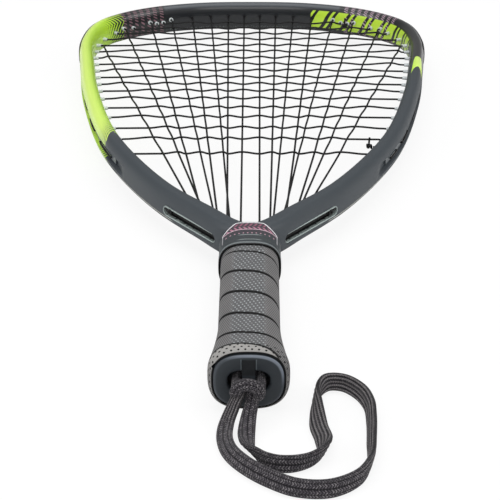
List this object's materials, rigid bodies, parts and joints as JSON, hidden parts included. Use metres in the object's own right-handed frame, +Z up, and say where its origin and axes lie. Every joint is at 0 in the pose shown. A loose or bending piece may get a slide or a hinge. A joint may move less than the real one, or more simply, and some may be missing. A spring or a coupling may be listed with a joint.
{
  "type": "racquetball racket",
  "caption": "Strung racquetball racket with a teardrop tube hoop, wrapped grip, rubber collar and butt cap with a bar that carries a swinging wrist lanyard.",
  "frame": {"origin": "under the middle of the racket's length, on the surface that the racket lies on", "axes": "+Y from the butt to the head, +X to the right as the racket is seen from above, +Z up, square to the string plane"},
  "size_m": [0.2552, 0.6301, 0.0355],
  "materials": {
    "frame_paint": "satin charcoal paint over moulded composite, with a lime green shoulder",
    "guard_plastic": "black nylon strip",
    "black_grommet": "black nylon",
    "clear_grommet": "clear milky nylon",
    "slot_plastic": "grey nylon",
    "string": "black synthetic string",
    "pallet_foam": "dark rigid foam",
    "cap_plastic": "dark blue-grey soft rubber",
    "tack_steel": "plain steel",
    "grip_wrap": "grey synthetic leather with a fine grain and raised dots",
    "collar_rubber": "dark grey satin rubber",
    "lanyard_braid": "dark grey woven tubular braid with light flecks"
  },
  "bodies": {
    "racket": {"frame": "frame_paint", "head_guard": "guard_plastic", "top_grommets": "black_grommet", "right_grommets": "clear_grommet", "left_grommets": "clear_grommet", "right_slot_insert": "slot_plastic", "left_slot_insert": "slot_plastic", "yoke_grommets": "black_grommet", "main_string": "string", "cross_string": "string", "right_main_knot": "string", "left_main_knot": "string", "cross_head_knot": "string", "cross_throat_knot": "string", "upper_pallet": "pallet_foam", "lower_pallet": "pallet_foam", "butt_cap": "cap_plastic", "upper_left_tack": "tack_steel", "upper_right_tack": "tack_steel", "lower_left_tack": "tack_steel", "lower_right_tack": "tack_steel", "grip_wrap": "grip_wrap", "collar": "collar_rubber"},
    "lanyard": {"lanyard_hitch": "lanyard_braid", "lanyard_strap": "lanyard_braid"}
  },
  "joints": [
    {"name": "lanyard_swing", "type": "hinge", "parent": "racket", "child": "lanyard", "pos_m": [0, -0.2771, 0.01774], "axis": [0, 0, 1], "range_deg": [-20, 20]}
  ]
}
